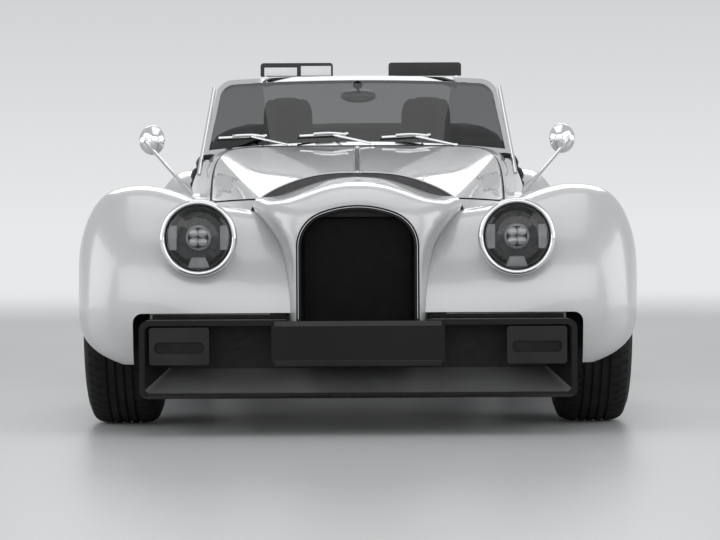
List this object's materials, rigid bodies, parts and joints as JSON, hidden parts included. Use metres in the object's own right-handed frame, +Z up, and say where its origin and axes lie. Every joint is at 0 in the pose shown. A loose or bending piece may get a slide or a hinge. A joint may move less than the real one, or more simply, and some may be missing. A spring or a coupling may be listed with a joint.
{
  "type": "roadster convertible",
  "caption": "Open two-seat roadster with flowing separate wings, split bonnet, arched grille, folded hood and steerable front wheels.",
  "frame": {"origin": "on the ground under the middle of the car", "axes": "-Y is the nose, +X the car's left side, +Z up"},
  "size_m": [1.7518, 3.89, 1.206],
  "materials": {
    "paint": "gloss pale silver",
    "bumper_black": "satin black",
    "trim_black": "matt black",
    "chrome": "polished",
    "screen_glass": "grey tint",
    "lens_glass": "clear",
    "tail_red": "gloss red",
    "tyre": "matt",
    "wheel": "satin silver",
    "steel": "satin",
    "tub": "anodised",
    "engine": "matt",
    "leather": "grained black",
    "hood": "woven black",
    "lamp_dark": "dark grey"
  },
  "bodies": {
    "root": {"front_wings": "paint", "rear_wings": "paint", "side_panels": "paint", "scuttle": "paint", "hinges": "chrome", "tail_body": "paint", "wheel_liners": "trim_black", "nose_cowl": "paint", "windscreen_frame": "chrome", "windscreen_glass": "screen_glass", "wipers": "chrome", "front_bumper": "bumper_black", "bumper_lamps": "bumper_black", "number_plate": "bumper_black", "grille": "trim_black", "headlamp_shells": "chrome", "headlamp_bowls": "lamp_dark", "headlamp_lenses": "lens_glass", "suspension": "steel", "chassis_tub": "tub", "engine": "engine", "dashboard": "leather", "seat_left": "leather", "seat_right": "leather", "folded_hood": "hood", "wing_mirrors": "chrome", "screen_fittings": "trim_black", "rear_lamps": "tail_red", "rear_bumper": "bumper_black", "exhaust": "steel"},
    "door_left": {"door_left": "paint"},
    "door_right": {"door_right": "paint"},
    "bonnet_left": {"bonnet_left": "paint"},
    "bonnet_right": {"bonnet_right": "paint"},
    "steering_wheel": {"steering_wheel": "leather"},
    "knuckle_left": {"knuckle_left": "steel"},
    "knuckle_right": {"knuckle_right": "steel"},
    "wheel_front_left": {"tyre_front_left": "tyre", "wheel_front_left": "wheel"},
    "wheel_front_right": {"tyre_front_right": "tyre", "wheel_front_right": "wheel"},
    "wheel_rear_left": {"tyre_rear_left": "tyre", "wheel_rear_left": "wheel"},
    "wheel_rear_right": {"tyre_rear_right": "tyre", "wheel_rear_right": "wheel"}
  },
  "joints": [
    {"name": "steer_left", "type": "hinge", "parent": "root", "child": "knuckle_left", "pos_m": [0.6665, -1.325, 0.319], "axis": [0, 0, 1], "range_deg": [-30, 30]},
    {"name": "steer_right", "type": "hinge", "parent": "root", "child": "knuckle_right", "pos_m": [-0.6665, -1.325, 0.319], "axis": [0, 0, 1], "range_deg": [-30, 30]},
    {"name": "steering_wheel_turn", "type": "hinge", "parent": "root", "child": "steering_wheel", "pos_m": [0.27, 0.1, 0.72], "axis": [0, 0.9061, 0.4231], "range_deg": [-450, 450]},
    {"name": "door_left_swing", "type": "hinge", "parent": "root", "child": "door_left", "pos_m": [0.583, -0.1125, 0.55], "axis": [0, 0, -1], "range_deg": [0, 60]},
    {"name": "door_right_swing", "type": "hinge", "parent": "root", "child": "door_right", "pos_m": [-0.583, -0.1125, 0.55], "axis": [0, 0, 1], "range_deg": [0, 60]},
    {"name": "bonnet_left_lift", "type": "hinge", "parent": "root", "child": "bonnet_left", "pos_m": [0.0095, -1.48, 0.782], "axis": [0, -0.9948, -0.1023], "range_deg": [0, 60]},
    {"name": "bonnet_right_lift", "type": "hinge", "parent": "root", "child": "bonnet_right", "pos_m": [-0.0095, -1.48, 0.782], "axis": [0, 0.9948, 0.1023], "range_deg": [0, 60]},
    {"name": "wheel_front_left_spin", "type": "hinge", "parent": "knuckle_left", "child": "wheel_front_left", "pos_m": [0.727, -1.325, 0.319], "axis": [1, 0, 0], "continuous": true},
    {"name": "wheel_front_right_spin", "type": "hinge", "parent": "knuckle_right", "child": "wheel_front_right", "pos_m": [-0.727, -1.325, 0.319], "axis": [1, 0, 0], "continuous": true},
    {"name": "wheel_rear_left_spin", "type": "hinge", "parent": "root", "child": "wheel_rear_left", "pos_m": [0.717, 1.195, 0.319], "axis": [1, 0, 0], "continuous": true},
    {"name": "wheel_rear_right_spin", "type": "hinge", "parent": "root", "child": "wheel_rear_right", "pos_m": [-0.717, 1.195, 0.319], "axis": [1, 0, 0], "continuous": true}
  ],
  "couplings": [
    {"joint": "steer_right", "follows": "steer_left", "ratio": 1},
    {"joint": "steering_wheel_turn", "follows": "steer_left", "ratio": 15}
  ]
}
